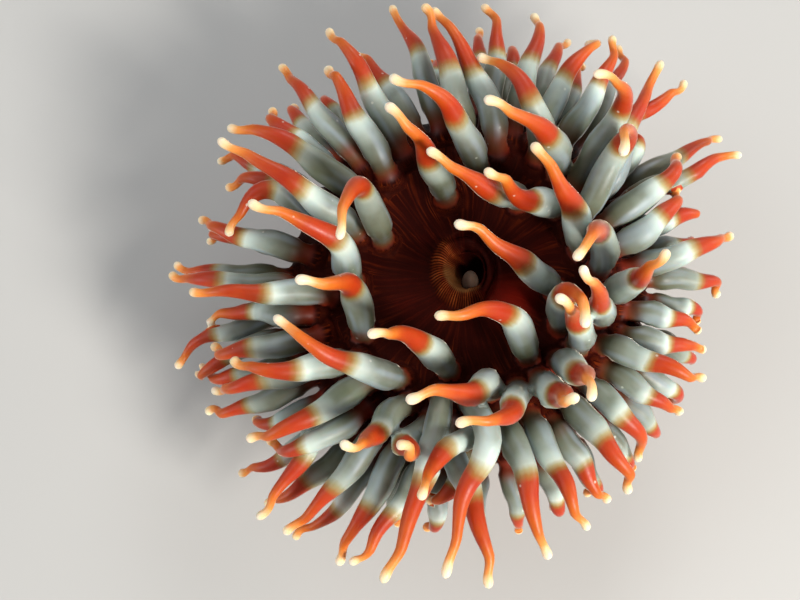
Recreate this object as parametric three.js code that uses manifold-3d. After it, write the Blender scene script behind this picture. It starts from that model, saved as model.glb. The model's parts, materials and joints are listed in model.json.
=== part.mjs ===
// A dahlia-type sea anemone, life size, as a still model. Millimetres, +Z up,
// origin at the centre of the foot on the floor.
import * as THREE from 'three';
import { mergeVertices } from 'three/addons/utils/BufferGeometryUtils.js';
import Module from 'manifold-3d';

const wasm = await Module();
wasm.setup();

// Driving dimensions of the body.
const GAP = 0.3;                 // thin cut between neighbouring pieces
const FOOT_RADIUS = 33.6;        // widest part of the pedal disc
const FOOT_HEIGHT = 3.2;
const WAIST_RADIUS = 29.4;       // narrowest part of the column
const COLUMN_TOP = 27.2;
const COLLAR_RADIUS = 35.3;      // the rolled parapet under the crown
const COLLAR_TOP = 31.0;
const MARGIN_RADIUS = 36.5;      // rim that bears the outermost tentacles
const MARGIN_INNER = 26.8;       // where the oral disc ends and the margin begins
const MOUTH_CENTRE = [0.2, 1.6, 0];  // the mouth lies a little off the axis
const RECESS_RADIUS = 8.3;       // recess of the disc that holds the lips
const RECESS_FLOOR = 33.6;
const LIP_RADIUS = 7.6;
const LIP_TOP = 40.2;
const LIP_FLUTES = 12;
const LIP_OPEN = 30;             // bearing towards which the ring of the lips sinks
const LIP_DROP = 2.2;            // how far it sinks there
const MOUTH_RADIUS = 3.6;
const SWELLING = { centre: [9.4, -4.2, 36.4], radius: 5.6, height: 3.0 };  // dome of the disc beside the mouth
const BODY_SIDES = 28;
const MARGIN_SECTORS = 12;
const MERGE = 1e-3;              // vertices nearer than this are one
const SLIVER = 0.05;             // cuts leave no step finer than this

// Upper surface of disc and margin: distance from the axis, height.
const DISC_SURFACE = [
  [9, 36.8], [14, 36.8], [20, 37.4], [26, 38.0], [30, 37.4], [33, 35.8], [35, 34.0], [36.5, 32.0],
];

// Driving dimensions of the tentacles.
const STATIONS = 10;             // equal steps along a centreline
const SINK = 2.2;                // how far a root runs down into the body
const SPLIT_AT = 0.47;           // where an inner tentacle is parted in two lengths
const SPLIT_GAP = 0.012;
const THICKNESS = [              // fraction of the length, radius
  [0, 2.5], [0.1, 2.4], [0.25, 2.7], [0.45, 2.35], [0.62, 1.72], [0.78, 1.15], [0.9, 0.82], [0.96, 0.98], [1, 0.6],
];
const ROOT_LEAN = [              // distance of the root from the axis, degrees from upright
  [17, 5], [24, 20], [28, 40], [32, 62], [36, 82],
];

// Pose of each tentacle, cycle by cycle from the mouth outwards.
// A row is: bearing and distance of the root from the axis, the tip's X, Y and
// height, the bearing in which the tip points, and where the tentacle bends
// sharply, the X, Y and height of that bend.
const CYCLES = [
  {
    name: 'inner', length: 36, girth: 1.06, sides: 6, steps: 6,
    poses: [
      [15, 24, 12, 21, 65, 130, 20, 11, 54],
      [38.8, 24, 3, 16, 67, 155, 9.5, 12.5, 56],
      [57, 20, -9, 19, 64, 150, 4, 15, 54],
      [153, 19, -26, 1, 69, 260, -22, 13, 60],
      [181, 23, -42, 11, 62, 140, -27, 5, 54],
      [208, 23.5, -33, -8, 68, 175, -23, -5, 54],
      [259, 19, -20, -18, 66, 190, -12, -15, 56],
      [282, 23, -13, -28, 65, 205],
      [305, 25, 19, -30, 69, 10],
      [308, 20, -7, -14, 64, 165, 4, -10, 58],
      [333, 21, 21, -16, 70, 260, 18, -7, 58],
      [354, 18, -3, 7, 62, 185, 6, 2, 56],
    ],
  },
  {
    name: 'second', length: 36, girth: 1.03, sides: 6, steps: 6,
    poses: [
      [4, 26, 19, -3, 70, 225, 25, 6, 56],
      [27, 24.5, 27, 17, 70, 260, 31, 25, 54],
      [50, 29.3, 2, 28, 66, 175, 14, 26, 57],
      [84, 23.5, -15, 36, 63, 140],
      [103, 18, -17, 27, 66, 140],
      [156, 24.5, -49, 27, 50, 135],
      [236, 24.5, -38, -12, 59, 145],
      [257, 24.3, -16, -62, 46, 240],
      [270, 24.5, -4, -61, 46, 255],
      [294, 24.5, -3, -35, 65, 205],
      [317, 24.5, 20, -30, 68, 270],
      [328, 25.5, 15, -12, 70, 155, 20, -11, 58],
    ],
  },
  {
    name: 'third', length: 34, girth: 1, sides: 5, steps: 5,
    poses: [
      [12, 29, 44, 20, 36, 35],
      [22, 29, 45, 25, 34, 35],
      [33, 28, 41, 48, 34, 60],
      [41, 28.5, 23, 32, 68, 185, 31, 32, 51],
      [60, 29.5, 2, 46, 46, 160, 13, 35, 49],
      [77, 27.5, -7, 58, 42, 130],
      [89, 28, -10, 57, 42, 140, -4, 43, 46],
      [116, 29, -28, 53, 44, 105],
      [126, 27.5, -28, 44, 46, 110],
      [141, 27.5, -48, 32, 42, 150],
      [159, 29.5, -47, 8, 42, 265, -42, 17, 43.5],
      [187, 27.5, -55, -3, 42, 165],
      [217, 27.5, -46, -16, 44, 135],
      [227, 27.5, -44, -34, 40, 205],
      [245, 27.5, -24, -36, 66, 145, -18, -33, 50],
      [255, 29.4, -14.5, -38, 58, 220],
      [265, 28.5, 5, -62, 42, 270],
      [275, 29, -10, -48, 61, 250, -7, -39, 52],
      [285, 27.5, 15, -57, 42, 295],
      [294, 29.5, 22, -51, 40, 300],
      [308, 29.5, 33, -43, 38, 290],
      [319, 29.5, 35, -35, 30, 285],
      [334, 29.5, 47, -22, 40, 340],
      [343, 27.5, 21, -4, 70, 105],
      [354, 27.5, 35, -1, 70, 65],
    ],
  },
  {
    name: 'fourth', length: 33, girth: 0.95, sides: 5, steps: 4,
    poses: [
      [4, 31, 54, 12, 32, 25],
      [18, 33, 47, 14, 32, 220],
      [27, 33, 57, 28, 32, 5],
      [38, 32.5, 30, 33, 32, 195, 34, 29, 40],
      [46, 33, 46, 46, 32, 80],
      [55, 33.3, 32, 54, 32, 80],
      [65.5, 32.5, 25, 52, 32, 175],
      [73, 32, 15, 61, 32, 115],
      [82, 31.5, 5, 62, 32, 135],
      [99, 31.5, -15, 61, 32, 105],
      [108, 32, -24, 52, 32, 170, -17, 43, 36],
      [131, 31.5, -39, 47, 32, 135],
      [140, 32.5, -42, 38, 32, 125],
      [150, 31.5, -49, 22, 32, 160],
      [170, 31.5, -55, 13, 32, 175],
      [183, 32, -60, 4, 32, 145],
      [192, 31.5, -54, -7, 32, 260, -46, -6, 33],
      [201, 31, -53, -13, 32, 165],
      [211, 31, -52, -20, 32, 175],
      [222, 31.5, -43, -47, 32, 185, -38, -42, 34],
      [231, 32, -40, -32, 32, 160],
      [240, 31.5, -36, -51, 32, 225],
      [249, 32.5, -27, -56, 32, 250],
      [258, 34, -23, -58, 36, 185, -17, -49, 38],
      [270, 33, -9, -44, 32, 220],
      [301, 33, 27, -45, 32, 300],
      [327, 32.5, 42, -27, 32, 310],
      [341, 33, 48, -12, 32, 355],
      [350, 32.5, 47, -9, 32, 330],
    ],
  },
  {
    name: 'fifth', length: 30, girth: 0.9, sides: 5, steps: 4,
    poses: [
      [3, 36, 54, 1, 24, 335],
      [11, 36, 48, 11, 24, 335],
      [33, 36, 56, 34, 24, 5],
      [53, 36, 35, 56, 24, 85],
      [61, 36, 25, 51, 24, 35],
      [69, 36, 22, 58, 24, 60],
      [77, 36, 8, 55, 24, 135],
      [85, 36, 2, 59, 24, 100],
      [97, 36, -6, 52, 24, 110],
      [113, 36, -20, 46, 24, 130],
      [127, 36, -30, 44, 24, 130],
      [135, 36, -38, 42, 24, 145],
      [148, 36, -52, 30, 24, 180],
      [167, 36, -55, 13, 24, 175],
      [177, 36, -60, 7, 24, 140],
      [188, 36, -60, -15, 24, 220],
      [196, 36, -57, -17, 24, 145],
      [204, 36, -54, -14, 24, 140],
      [211, 36, -53, -26, 24, 225],
      [219, 36, -45, -26, 24, 220],
      [227, 36, -47, -36, 24, 210],
      [235, 36, -42, -44, 24, 235],
      [243, 36, -34, -51, 24, 260],
      [355, 36, 49, -5, 24, 320],
    ],
  },
];

// Short tentacles of the fifth cycle that droop under the crown, evenly spaced.
const UNDER = { first: 252, step: 10.2, count: 10, reach: 49, height: 20 };
for (let k = 0; k < UNDER.count; k++) {
  const bearing = UNDER.first + k * UNDER.step;
  const [x, y] = polar(bearing, UNDER.reach);
  CYCLES[4].poses.push([bearing, 36, x, y, UNDER.height, bearing]);
}

const materials = {
  column: new THREE.MeshStandardMaterial({ color: 0x9a4a32, roughness: 0.45, metalness: 0 }),
  disc: new THREE.MeshStandardMaterial({ color: 0x4a1410, roughness: 0.35, metalness: 0 }),
  lips: new THREE.MeshStandardMaterial({ color: 0x8c4628, roughness: 0.35, metalness: 0 }),
  stem: new THREE.MeshStandardMaterial({ color: 0x9aa39c, roughness: 0.3, metalness: 0 }),
  tip: new THREE.MeshStandardMaterial({ color: 0xe64b23, roughness: 0.3, metalness: 0 }),
};

function polar(bearing, distance) {
  const turn = THREE.MathUtils.degToRad(bearing);
  return [distance * Math.cos(turn), distance * Math.sin(turn)];
}

function readOff(table, at) {
  if (at <= table[0][0]) return table[0][1];
  for (let k = 1; k < table.length; k++) {
    const [a, va] = table[k - 1];
    const [b, vb] = table[k];
    if (at <= b) return va + (vb - va) * (at - a) / (b - a);
  }
  return table[table.length - 1][1];
}

// ---- solids -------------------------------------------------------------

// A closed geometry becomes a manifold solid with its faces pointing out.
function toSolid(geometry) {
  const bare = geometry.clone();
  bare.deleteAttribute('normal');
  bare.deleteAttribute('uv');
  const merged = mergeVertices(bare, MERGE);
  const position = merged.attributes.position;
  const index = [];
  let volume = 0;
  const [a, b, c] = [new THREE.Vector3(), new THREE.Vector3(), new THREE.Vector3()];
  for (let k = 0; k < merged.index.count; k += 3) {
    const corners = [0, 1, 2].map((n) => merged.index.getX(k + n));
    if (new Set(corners).size < 3) continue;
    index.push(...corners);
    a.fromBufferAttribute(position, corners[0]);
    b.fromBufferAttribute(position, corners[1]);
    c.fromBufferAttribute(position, corners[2]);
    volume += a.dot(b.cross(c));
  }
  if (volume < 0) index.reverse();
  return new wasm.Manifold(new wasm.Mesh({
    numProp: 3,
    vertProperties: new Float32Array(position.array),
    triVerts: new Uint32Array(index),
  }));
}

// Keeps the largest body and fills the pockets shut in where roots meet.
function oneBody(solid) {
  return solid.decompose().reduce((best, body) => (body.volume() > best.volume() ? body : best));
}

function toGeometry(solid) {
  const mesh = solid.getMesh();
  const geometry = new THREE.BufferGeometry();
  geometry.setAttribute('position', new THREE.BufferAttribute(mesh.vertProperties, 3));
  geometry.setIndex(new THREE.BufferAttribute(mesh.triVerts, 1));
  return geometry;
}

function toMesh(name, solid, material) {
  const rounded = toSolid(toGeometry(oneBody(solid)));
  const tidied = toSolid(toGeometry(oneBody(rounded).simplify(SLIVER)));
  const geometry = toGeometry(oneBody(tidied));
  geometry.computeVertexNormals();
  const piece = new THREE.Mesh(geometry, material);
  piece.name = name;
  return piece;
}

// A profile of [distance, height] pairs turned about the Z axis.
function turned(profile, sides = BODY_SIDES) {
  const points = profile.map(([distance, height]) => new THREE.Vector2(distance, height));
  return new THREE.LatheGeometry(points, sides).rotateX(Math.PI / 2);
}

function surfaceHeight(distance) {
  return readOff(DISC_SURFACE, distance);
}

// Profile of everything below the disc's surface between two distances from the axis.
function discBlock(inner, outer, floor, raise) {
  const between = DISC_SURFACE.filter(([r]) => r > inner && r < outer).map(([r, z]) => [r, z + raise]);
  return [
    [inner, floor], [outer, floor], [outer, surfaceHeight(outer) + raise],
    ...between.reverse(), [inner, surfaceHeight(inner) + raise], [inner, floor],
  ];
}

// ---- the body -----------------------------------------------------------

function pedalDisc() {
  const rim = FOOT_RADIUS;
  return toSolid(turned([
    [0, 0], [rim - 1.6, 0], [rim - 0.3, 0.7], [rim, 1.9], [rim - 1.3, FOOT_HEIGHT], [0, FOOT_HEIGHT],
  ]));
}

function column() {
  const foot = FOOT_HEIGHT + GAP;
  const middle = (foot + COLUMN_TOP) / 2;
  return toSolid(turned([
    [0, foot], [FOOT_RADIUS - 1.5, foot], [WAIST_RADIUS + 1.1, foot + 3.2], [WAIST_RADIUS, middle - 2],
    [WAIST_RADIUS + 0.3, middle + 4], [WAIST_RADIUS + 1.8, COLUMN_TOP - 2], [WAIST_RADIUS + 2.1, COLUMN_TOP],
    [0, COLUMN_TOP],
  ]));
}

function collar() {
  const floor = COLUMN_TOP + GAP;
  const rim = COLLAR_RADIUS;
  return toSolid(turned([
    [0, floor], [rim - 3.4, floor], [rim - 0.9, floor + 0.4], [rim, floor + 1.7], [rim - 0.5, COLLAR_TOP - 0.5],
    [rim - 1.8, COLLAR_TOP], [0, COLLAR_TOP],
  ]));
}

function oralDisc() {
  const floor = COLLAR_TOP + GAP;
  const outer = MARGIN_INNER - GAP;
  const surface = DISC_SURFACE.filter(([r]) => r < outer);
  const disc = toSolid(turned([
    [0, floor], [outer, floor], [outer, surfaceHeight(outer)], ...surface.reverse(), [0, surfaceHeight(0)],
  ]));
  const recess = toSolid(turned([
    [0, RECESS_FLOOR], [RECESS_RADIUS - 0.6, RECESS_FLOOR], [RECESS_RADIUS, RECESS_FLOOR + 1.6],
    [RECESS_RADIUS, LIP_TOP], [0, LIP_TOP],
  ], 2 * LIP_FLUTES));
  const dome = new THREE.SphereGeometry(SWELLING.radius, 14, 10).rotateX(Math.PI / 2)
    .scale(1, 1, SWELLING.height / SWELLING.radius).translate(...SWELLING.centre);
  return disc.add(toSolid(dome)).subtract(recess.translate(MOUTH_CENTRE));
}

// The lips are a fluted ring round the mouth; the flutes swell and sink in turn,
// and the ring sinks towards the dome beside it.
function mouthLips() {
  const floor = RECESS_FLOOR + GAP;
  const ring = turned([
    [MOUTH_RADIUS, floor], [LIP_RADIUS - 0.6, floor], [LIP_RADIUS, floor + 2.2], [LIP_RADIUS - 0.1, LIP_TOP - 2.2],
    [LIP_RADIUS - 1.6, LIP_TOP], [MOUTH_RADIUS + 1.9, LIP_TOP - 0.2], [MOUTH_RADIUS, LIP_TOP - 2.4],
    [MOUTH_RADIUS, floor],
  ], 2 * LIP_FLUTES);
  const position = ring.attributes.position;
  for (let k = 0; k < position.count; k++) {
    const [x, y, z] = [position.getX(k), position.getY(k), position.getZ(k)];
    if (z < floor + 1) continue;
    const bearing = Math.atan2(y, x);
    const swell = 1 + 0.05 * Math.cos(LIP_FLUTES * bearing);
    const open = 0.5 + 0.5 * Math.cos(bearing - THREE.MathUtils.degToRad(LIP_OPEN));
    const drop = z > floor + 2.5 ? LIP_DROP * open ** 2 : 0;
    position.setXYZ(k, x * swell, y * swell, z - drop);
  }
  return toSolid(ring).translate(MOUTH_CENTRE);
}

// ---- centrelines of the tentacles ----------------------------------------

function startDirection(bearing, distance) {
  const lean = THREE.MathUtils.degToRad(readOff(ROOT_LEAN, distance));
  const [x, y] = polar(bearing, Math.sin(lean));
  return new THREE.Vector3(x, y, Math.cos(lean));
}

function evenly(curves) {
  const fine = curves.flatMap((curve, k) => curve.getPoints(60).slice(k ? 1 : 0));
  const along = [0];
  for (let k = 1; k < fine.length; k++) along.push(along[k - 1] + fine[k].distanceTo(fine[k - 1]));
  const total = along[along.length - 1];
  const points = [];
  for (let n = 0; n <= STATIONS; n++) {
    const want = total * n / STATIONS;
    let k = 1;
    while (k < fine.length - 1 && along[k] < want) k++;
    const share = (want - along[k - 1]) / (along[k] - along[k - 1]);
    points.push(fine[k - 1].clone().lerp(fine[k], Math.min(1, Math.max(0, share))));
  }
  return points;
}

// One curve from root to tip, as long as its cycle's tentacles are where the
// tip is near enough, so that a tentacle arches more the nearer its tip is.
function archedPoints(root, start, tip, end, length) {
  const toTip = tip.clone().sub(root);
  const chord = toTip.length();
  const full = Math.min(Math.max(length, chord * 1.04), chord * 1.3);
  const away = start.clone().multiplyScalar(0.6).addScaledVector(toTip.normalize(), 0.4).normalize();
  let [low, high] = [0.1, 2.5];
  let curve;
  for (let k = 0; k < 24; k++) {
    const handle = (low + high) / 2;
    curve = new THREE.CubicBezierCurve3(
      root, root.clone().addScaledVector(away, 0.36 * full * handle),
      tip.clone().addScaledVector(end, -0.16 * full), tip,
    );
    if (curve.getLength() < full) low = handle; else high = handle;
  }
  return evenly([curve]);
}

// Two curves that meet smoothly at the bend.
function bentPoints(root, start, bend, tip, end) {
  const first = bend.clone().sub(root);
  const last = tip.clone().sub(bend);
  const [a, b] = [first.length(), last.length()];
  first.divideScalar(a);
  last.divideScalar(b);
  const through = first.clone().add(last).normalize();
  const away = start.clone().add(first).normalize();
  return evenly([
    new THREE.CubicBezierCurve3(
      root, root.clone().addScaledVector(away, 0.35 * a), bend.clone().addScaledVector(through, -0.35 * a), bend,
    ),
    new THREE.CubicBezierCurve3(
      bend, bend.clone().addScaledVector(through, 0.35 * b), tip.clone().addScaledVector(end, -0.3 * b), tip,
    ),
  ]);
}

function makeTentacle(cycle, pose) {
  const [bearing, distance, tipX, tipY, tipZ, heading, bendX, bendY, bendZ] = pose;
  const [x, y] = polar(bearing, distance);
  const root = new THREE.Vector3(x, y, surfaceHeight(distance));
  const tip = new THREE.Vector3(tipX, tipY, tipZ);
  const start = startDirection(bearing, distance);
  const end = new THREE.Vector3(...polar(heading, 1), 0);
  const points = bendX === undefined
    ? archedPoints(root, start, tip, end, cycle.length)
    : bentPoints(root, start, new THREE.Vector3(bendX, bendY, bendZ), tip, end);
  const radii = points.map((_, n) => cycle.girth * readOff(THICKNESS, n / STATIONS));
  return { cycle, bearing, points, radii };
}

// Tentacles that come too near each other are eased apart, mostly up and down,
// a little in each round. Roots stay where they are.
const EASE = { rounds: 60, clearance: 0.8, sideways: 0.45 };

function easeApart(tentacles) {
  const boxes = tentacles.map((t) => new THREE.Box3().setFromPoints(t.points).expandByScalar(3.5));
  const pairs = [];
  for (let i = 0; i < tentacles.length; i++) {
    for (let j = i + 1; j < tentacles.length; j++) {
      if (boxes[i].intersectsBox(boxes[j])) pairs.push([tentacles[i], tentacles[j]]);
    }
  }
  const apart = new THREE.Vector3();
  for (let round = 0; round < EASE.rounds; round++) {
    for (const t of tentacles) {
      t.push = t.points.map(() => new THREE.Vector3());
      t.hits = t.points.map(() => 0);
    }
    for (const [one, two] of pairs) {
      for (let m = 0; m <= STATIONS; m++) {
        for (let n = 0; n <= STATIONS; n++) {
          apart.subVectors(one.points[m], two.points[n]);
          const distance = apart.length() + 1e-9;
          const over = one.radii[m] + two.radii[n] + EASE.clearance - distance;
          if (over <= 0) continue;
          apart.multiplyScalar(over / 2 / distance);
          apart.x *= EASE.sideways;
          apart.y *= EASE.sideways;
          one.push[m].add(apart);
          two.push[n].sub(apart);
          one.hits[m]++;
          two.hits[n]++;
        }
      }
    }
    for (const t of tentacles) {
      let push = t.push.map((p, n) => p.divideScalar(Math.sqrt(Math.max(t.hits[n], 1)))
        .multiplyScalar(Math.min(3 * n / STATIONS, 1)));
      for (let pass = 0; pass < 2; pass++) {
        push = push.map((p, n) => {
          if (n === 0) return p.clone();
          if (n === STATIONS) return push[n - 1].clone().addScaledVector(p, 2).divideScalar(3);
          return p.clone().multiplyScalar(2).add(push[n - 1]).add(push[n + 1]).divideScalar(4);
        });
      }
      t.points.forEach((p, n) => p.add(push[n]));
    }
  }
}

// ---- solids of the tentacles ----------------------------------------------

// A straight, turned length is bent along the tentacle's centreline. Fractions
// below zero run down into the body.
function bentLength(tentacle, from, to, steps, swell = 0) {
  const { points, cycle } = tentacle;
  const curve = new THREE.CatmullRomCurve3(points, false, 'catmullrom', 0.5);
  const total = points.slice(1).reduce((sum, p, n) => sum + p.distanceTo(points[n]), 0);
  const down = points[1].clone().sub(points[0]).normalize();
  const profile = [new THREE.Vector2(0, from)];
  for (let k = 0; k <= steps; k++) {
    const at = from + (to - from) * k / steps;
    const closing = to === 1 && k === steps;
    if (!closing) profile.push(new THREE.Vector2(cycle.girth * readOff(THICKNESS, at) + swell, at));
  }
  profile.push(new THREE.Vector2(0, to));
  const geometry = new THREE.LatheGeometry(profile, cycle.sides);
  const frames = curve.computeFrenetFrames(100);
  const position = geometry.attributes.position;
  const place = new THREE.Vector3();
  for (let k = 0; k < position.count; k++) {
    const at = position.getY(k);
    const inside = Math.min(1, Math.max(0, at));
    const frame = Math.round(inside * 100);
    curve.getPoint(inside, place);
    if (at < 0) place.addScaledVector(down, at * total);
    place.addScaledVector(frames.normals[frame], position.getX(k));
    place.addScaledVector(frames.binormals[frame], position.getZ(k));
    position.setXYZ(k, place.x, place.y, place.z);
  }
  return toSolid(geometry);
}

function rootFraction(tentacle) {
  return -SINK / tentacle.cycle.length;
}

function wholeTentacle(tentacle, swell = 0) {
  return bentLength(tentacle, rootFraction(tentacle), 1, tentacle.cycle.steps, swell);
}

const CROWDED = 1.8;             // clear distance under which two tentacles are cut apart

function nearlyTouch(one, two) {
  return one.points.some((p, m) => two.points.some((q, n) => (
    p.distanceTo(q) < one.radii[m] + two.radii[n] + CROWDED)));
}

// Wedge-shaped prism that a margin sector keeps to.
function sectorPrism(k) {
  const half = Math.PI / MARGIN_SECTORS;
  const outline = new THREE.Shape();
  const apex = GAP / 2 / Math.sin(half);
  outline.moveTo(apex, 0);
  outline.lineTo(apex + 60 * Math.cos(half), -60 * Math.sin(half));
  outline.lineTo(apex + 60 * Math.cos(half), 60 * Math.sin(half));
  outline.closePath();
  const prism = new THREE.ExtrudeGeometry(outline, { depth: 60, bevelEnabled: false });
  prism.rotateZ((2 * k + 1) * half);
  return toSolid(prism);
}

// ---- assembly --------------------------------------------------------------

const tentacles = CYCLES.flatMap((cycle) => cycle.poses.map((pose) => makeTentacle(cycle, pose)));
easeApart(tentacles);

const anemone = new THREE.Group();
anemone.name = 'sea_anemone';
anemone.add(toMesh('pedal_disc', pedalDisc(), materials.column));
anemone.add(toMesh('column', column(), materials.column));
anemone.add(toMesh('collar', collar(), materials.column));
anemone.add(toMesh('oral_disc', oralDisc(), materials.disc));
anemone.add(toMesh('mouth_lips', mouthLips(), materials.lips));

// Standing room that no root may enter: the body, one gap larger.
const bodyRoom = toSolid(turned(discBlock(0, MARGIN_RADIUS + 2 * GAP, COLUMN_TOP, GAP)));

for (const [n, tentacle] of tentacles.filter((t) => t.cycle.name === 'inner').entries()) {
  const label = `tentacle_inner_${String(n + 1).padStart(2, '0')}`;
  const base = bentLength(tentacle, rootFraction(tentacle), SPLIT_AT, 3).subtract(bodyRoom);
  const end = bentLength(tentacle, SPLIT_AT + SPLIT_GAP, 1, 3);
  anemone.add(toMesh(`${label}_base`, base, materials.stem));
  anemone.add(toMesh(`${label}_tip`, end, materials.tip));
}
for (const [n, tentacle] of tentacles.filter((t) => t.cycle.name === 'second').entries()) {
  const label = `tentacle_second_${String(n + 1).padStart(2, '0')}`;
  anemone.add(toMesh(label, wholeTentacle(tentacle).subtract(bodyRoom), materials.tip));
}

const ring = toSolid(turned(discBlock(MARGIN_INNER, MARGIN_RADIUS, COLLAR_TOP + GAP, 0)));
const overMargin = toSolid(turned([
  [MARGIN_INNER, COLLAR_TOP + GAP], [50, COLLAR_TOP + GAP], [50, 50], [MARGIN_INNER, 50], [MARGIN_INNER, COLLAR_TOP + GAP],
]));
const outer = tentacles.filter((t) => t.cycle.name !== 'inner' && t.cycle.name !== 'second');
for (let k = 0; k < MARGIN_SECTORS; k++) {
  const prism = sectorPrism(k);
  const width = 360 / MARGIN_SECTORS;
  const own = outer.filter((t) => Math.floor(t.bearing / width) === k);
  let sector = ring.intersect(prism);
  for (const tentacle of own) sector = sector.add(wholeTentacle(tentacle));
  sector = sector.subtract(bodyRoom.subtract(overMargin.intersect(prism)));
  const crowding = tentacles.filter((t) => !own.includes(t) && (!outer.includes(t) || t.bearing < k * width)
    && own.some((one) => nearlyTouch(one, t)));
  for (const tentacle of crowding) sector = sector.subtract(wholeTentacle(tentacle, GAP));
  anemone.add(toMesh(`margin_${String(k + 1).padStart(2, '0')}`, sector, materials.tip));
}

export default anemone;
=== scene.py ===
import json
import math
import bpy
import numpy as np
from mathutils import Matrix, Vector

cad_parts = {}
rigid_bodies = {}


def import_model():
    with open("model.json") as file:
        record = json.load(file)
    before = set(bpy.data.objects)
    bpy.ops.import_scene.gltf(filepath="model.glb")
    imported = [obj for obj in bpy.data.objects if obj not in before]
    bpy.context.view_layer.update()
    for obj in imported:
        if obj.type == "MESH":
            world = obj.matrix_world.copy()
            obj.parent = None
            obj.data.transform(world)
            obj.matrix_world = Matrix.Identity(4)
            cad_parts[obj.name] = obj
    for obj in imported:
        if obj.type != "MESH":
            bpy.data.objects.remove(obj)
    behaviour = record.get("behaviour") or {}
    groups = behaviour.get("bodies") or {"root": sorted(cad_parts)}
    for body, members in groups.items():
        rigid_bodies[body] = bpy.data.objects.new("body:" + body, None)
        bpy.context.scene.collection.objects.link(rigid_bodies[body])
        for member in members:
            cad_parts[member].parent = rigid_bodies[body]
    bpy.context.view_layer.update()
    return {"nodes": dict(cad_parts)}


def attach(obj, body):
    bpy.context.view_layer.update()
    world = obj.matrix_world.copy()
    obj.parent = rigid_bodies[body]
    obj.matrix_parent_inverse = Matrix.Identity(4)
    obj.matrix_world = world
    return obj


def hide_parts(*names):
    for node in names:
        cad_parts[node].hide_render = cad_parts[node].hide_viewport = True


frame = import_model()
mm = 0.001  # shapes are worked out in millimetres and made in metres


# small helpers for objects

def deselectAll():
    bpy.ops.object.select_all(action="DESELECT")


def makeActive(piece):
    deselectAll()
    piece.select_set(True)
    bpy.context.view_layer.objects.active = piece


def addObject(name, data):
    added = bpy.data.objects.new(name, data)
    bpy.context.scene.collection.objects.link(added)
    return added


def copyOf(piece):
    copied = piece.copy()
    copied.data = piece.data.copy()
    bpy.context.scene.collection.objects.link(copied)
    return copied


def addLine(name, points):
    # a curve of straight lengths through points in millimetres
    curve = bpy.data.curves.new(name, "CURVE")
    curve.dimensions = "3D"
    curve.twist_mode = "MINIMUM"
    spline = curve.splines.new("POLY")
    spline.points.add(len(points) - 1)
    spline.points.foreach_set("co", np.hstack([points * mm, np.ones((len(points), 1))]).ravel())
    return addObject(name, curve)


def applyModifier(piece, kind, **settings):
    makeActive(piece)
    modifier = piece.modifiers.new(kind.title(), kind)
    for name, value in settings.items():
        setattr(modifier, name, value)
    bpy.ops.object.modifier_apply(modifier=modifier.name)


def joinInto(target, other):
    applyModifier(target, "BOOLEAN", operation="UNION", object=other, solver="MANIFOLD")
    bpy.data.objects.remove(other)


def selectOnly(piece, kind, chosen):
    # leaves the piece in edit mode with only the chosen points or edges selected
    makeActive(piece)
    bpy.ops.object.mode_set(mode="EDIT")
    bpy.ops.mesh.select_mode(type=kind)
    bpy.ops.mesh.select_all(action="DESELECT")
    bpy.ops.object.mode_set(mode="OBJECT")
    (piece.data.edges if kind == "EDGE" else piece.data.vertices).foreach_set("select", chosen)
    bpy.ops.object.mode_set(mode="EDIT")


# points, edges and marks of a mesh; the skin's material reads the marks

def pointsOf(piece):
    points = np.empty(len(piece.data.vertices) * 3)
    piece.data.vertices.foreach_get("co", points)
    return points.reshape(-1, 3) / mm


def movePoints(piece, points):
    piece.data.vertices.foreach_set("co", (points * mm).ravel())
    piece.data.update()


def edgesOf(piece):
    ends = np.empty(len(piece.data.edges) * 2, int)
    piece.data.edges.foreach_get("vertices", ends)
    return ends.reshape(-1, 2)


def setMark(piece, name, values):
    store = piece.data.attributes.get(name) or piece.data.attributes.new(name, "FLOAT", "POINT")
    store.data.foreach_set("value", np.broadcast_to(values, len(piece.data.vertices)).astype(np.float32))


def getMark(piece, name):
    values = np.empty(len(piece.data.vertices), np.float32)
    piece.data.attributes[name].data.foreach_get("value", values)
    return values


def setGrain(piece, values):
    # the place of each point in the pattern of the flesh's fibres
    attributes = piece.data.attributes
    store = attributes.get("grain") or attributes.new("grain", "FLOAT_VECTOR", "POINT")
    store.data.foreach_set("vector", values.astype(np.float32).ravel())


def getGrain(piece):
    values = np.empty(len(piece.data.vertices) * 3, np.float32)
    piece.data.attributes["grain"].data.foreach_get("vector", values)
    return values.reshape(-1, 3)


def plainMarks(piece, **special):
    # every mark of the skin at nought but the ones named
    for name in ("reach", "seed", "near", "lip", "throat", "ochre", "swell", "pad", "wart"):
        setMark(piece, name, special.get(name, 0.0))


# small helpers for numbers

def polar(bearing, distance):
    turn = math.radians(bearing)
    return distance * math.cos(turn), distance * math.sin(turn)


def unit(vector):
    return vector / np.linalg.norm(vector)


def step(values, low, high):
    # 0 up to low, 1 from high, smooth between; the other way round if low is above high
    t = np.clip((values - low) / (high - low), 0, 1)
    return t * t * (3 - 2 * t)


def between(values, start, full, fade, end):
    # 1 from full to fade, and 0 before start and after end
    return step(values, start, full) * step(values, end, fade)


def readOff(table, at):
    return float(np.interp(at, [row[0] for row in table], [row[1] for row in table]))


def distanceAlong(points):
    return np.concatenate([[0], np.cumsum(np.linalg.norm(np.diff(points, axis=0), axis=1))])


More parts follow.
